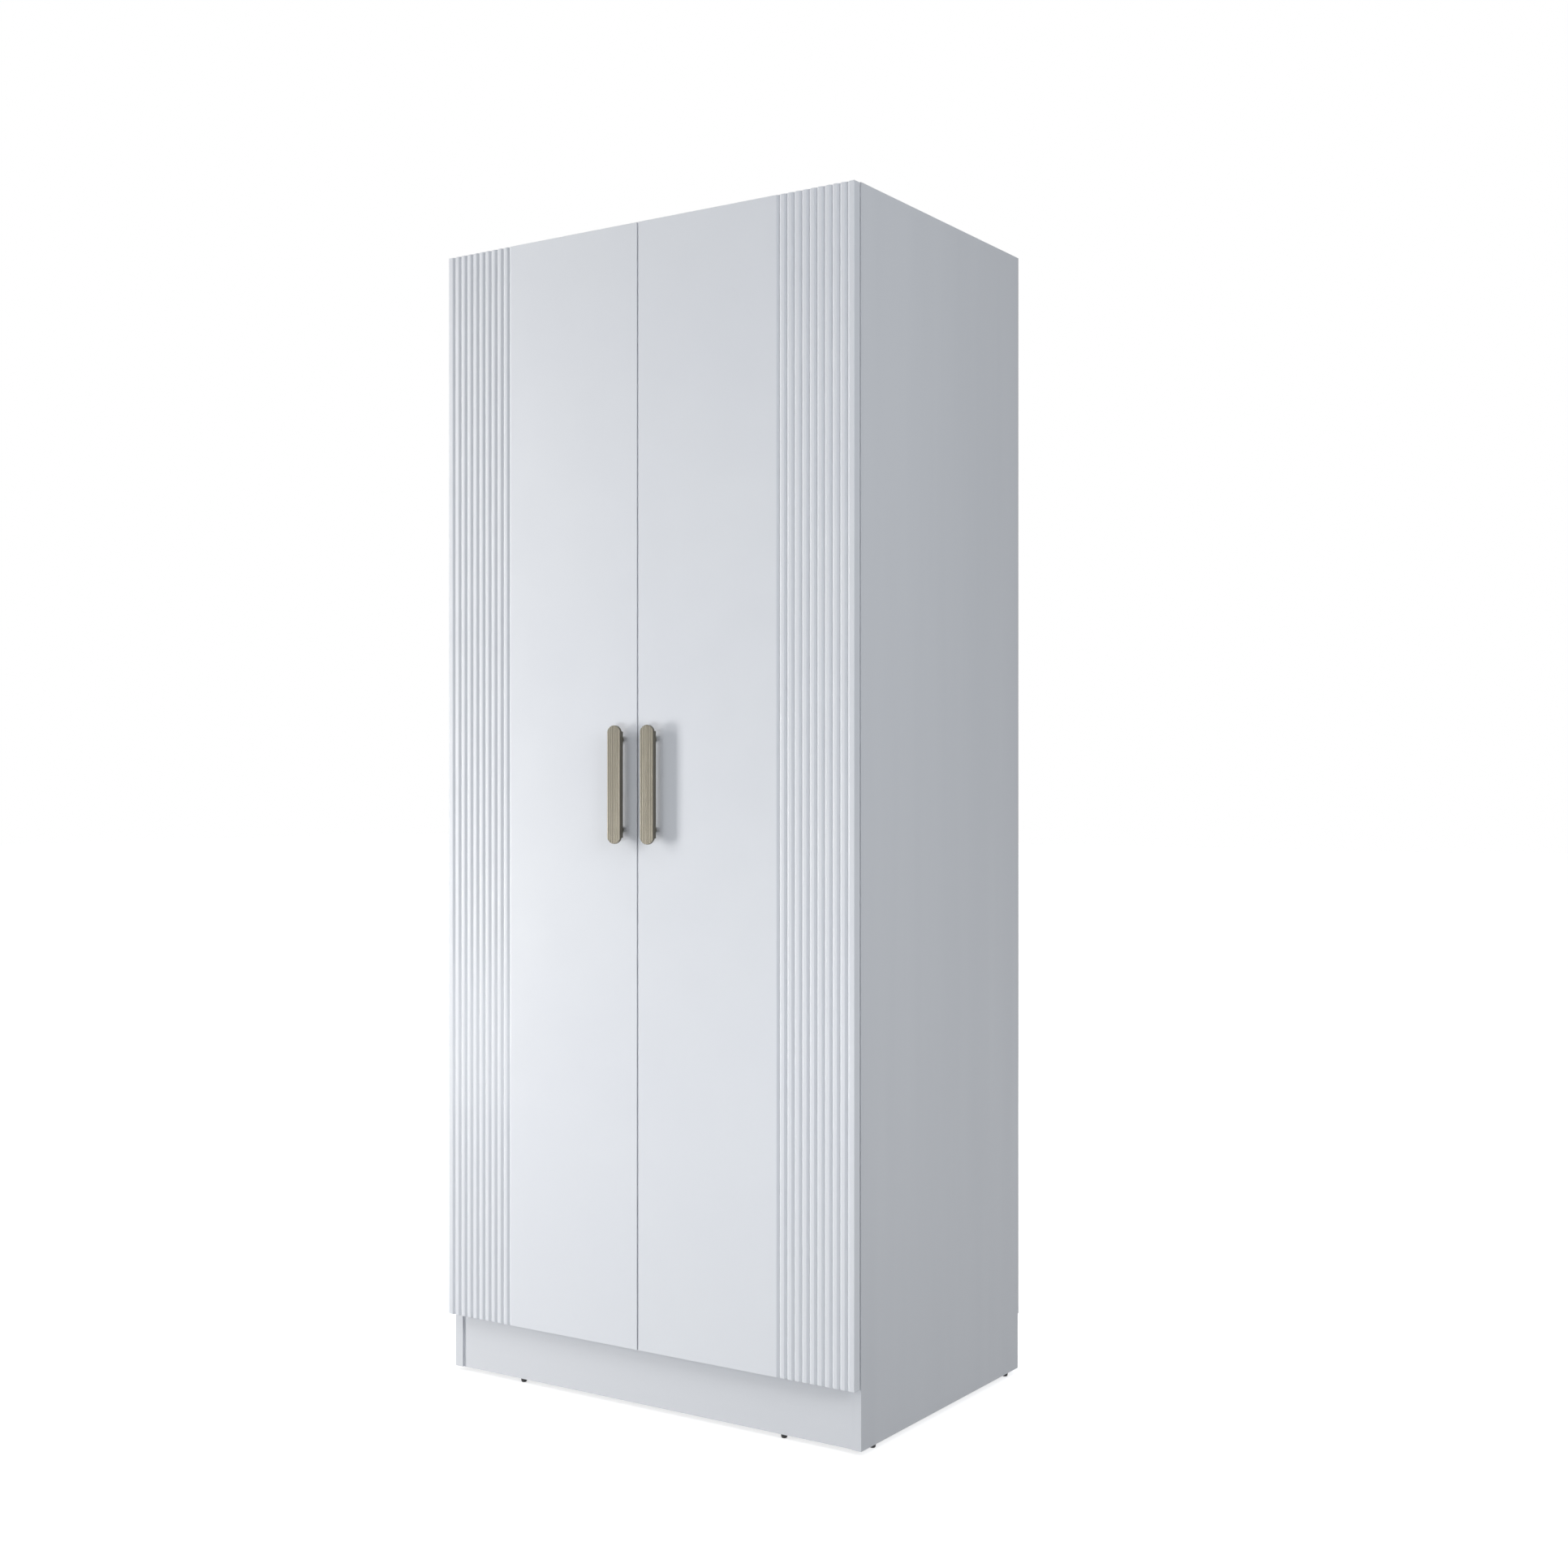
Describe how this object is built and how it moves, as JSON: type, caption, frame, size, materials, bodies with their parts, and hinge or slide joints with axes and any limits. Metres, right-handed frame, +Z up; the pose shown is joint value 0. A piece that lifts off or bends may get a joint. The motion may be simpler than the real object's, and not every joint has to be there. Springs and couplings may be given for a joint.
{
  "type": "two-door wardrobe",
  "caption": "Tall white wardrobe with two side-hung doors, V-grooved bands on the hinge sides, upright capsule bar handles, hat shelf, hanging rail and plinth.",
  "frame": {"origin": "bottom centre of the whole object's box, on the floor under the glides", "axes": "+Z up, +X to the right seen from the front, +Y to the back; the doors face -Y"},
  "size_m": [0.9, 0.618, 2.108],
  "materials": {
    "melamine_board": "white melamine faced particle board, satin",
    "door_lacquer": "white lacquer, satin",
    "hardboard": "white printed hardboard",
    "white_plastic": "white moulded plastic",
    "black_plastic": "black moulded plastic",
    "handle_metal": "warm grey satin metal",
    "nickel_steel": "nickel plated",
    "zinc_steel": "zinc plated",
    "die_cast_zinc": "die-cast",
    "chromed_tube": "bright chrome",
    "beech": "plain beech",
    "clear_rubber": "clear soft bumper"
  },
  "bodies": {
    "carcass": {"side_panel_left": "melamine_board", "side_panel_right": "melamine_board", "top_panel": "melamine_board", "bottom_panel": "melamine_board", "hat_shelf": "melamine_board", "lower_shelf": "melamine_board", "plinth_front": "melamine_board", "plinth_rear": "melamine_board", "back_panel_left": "hardboard", "back_panel_right": "hardboard", "back_joiner": "white_plastic", "back_nails": "zinc_steel", "cam_locks": "die_cast_zinc", "cam_bolts": "zinc_steel", "dowels": "beech", "shelf_pins": "nickel_steel", "hanging_rail": "chromed_tube", "rail_sockets": "chromed_tube", "rail_screws": "zinc_steel", "side_glides": "black_plastic", "plinth_glides": "black_plastic", "wall_brackets": "zinc_steel", "bracket_screws": "zinc_steel", "hinge_plates_left": "nickel_steel", "hinge_plates_right": "nickel_steel", "plate_screws_left": "zinc_steel", "plate_screws_right": "zinc_steel", "hinge_arms_left": "nickel_steel", "hinge_arms_right": "nickel_steel", "arm_pins_left": "zinc_steel", "arm_pins_right": "zinc_steel", "arm_screws_left": "zinc_steel", "arm_screws_right": "zinc_steel"},
    "links_left": {"hinge_links_left": "nickel_steel"},
    "door_left": {"door_panel_left": "door_lacquer", "handle_bar_left": "handle_metal", "handle_posts_left": "handle_metal", "handle_screws_left": "zinc_steel", "door_buffers_left": "clear_rubber", "hinge_cups_left": "nickel_steel", "cup_pins_left": "zinc_steel", "cup_screws_left": "zinc_steel", "hinge_springs_left": "zinc_steel"},
    "links_right": {"hinge_links_right": "nickel_steel"},
    "door_right": {"door_panel_right": "door_lacquer", "handle_bar_right": "handle_metal", "handle_posts_right": "handle_metal", "handle_screws_right": "zinc_steel", "door_buffers_right": "clear_rubber", "hinge_cups_right": "nickel_steel", "cup_pins_right": "zinc_steel", "cup_screws_right": "zinc_steel", "hinge_springs_right": "zinc_steel"}
  },
  "joints": [
    {"name": "link_turn_left", "type": "hinge", "parent": "carcass", "child": "links_left", "pos_m": [-0.4242, -0.2665, 1.109], "axis": [0, 0, 1], "range_deg": [0, 35]},
    {"name": "door_swing_left", "type": "hinge", "parent": "links_left", "child": "door_left", "pos_m": [-0.44, -0.273, 1.109], "axis": [0, 0, -1], "range_deg": [0, 135]},
    {"name": "link_turn_right", "type": "hinge", "parent": "carcass", "child": "links_right", "pos_m": [0.4242, -0.2665, 1.109], "axis": [0, 0, -1], "range_deg": [0, 35]},
    {"name": "door_swing_right", "type": "hinge", "parent": "links_right", "child": "door_right", "pos_m": [0.44, -0.273, 1.109], "axis": [0, 0, 1], "range_deg": [0, 135]}
  ],
  "couplings": [
    {"joint": "link_turn_left", "follows": "door_swing_left", "ratio": 0.25926},
    {"joint": "link_turn_right", "follows": "door_swing_right", "ratio": 0.25926}
  ]
}
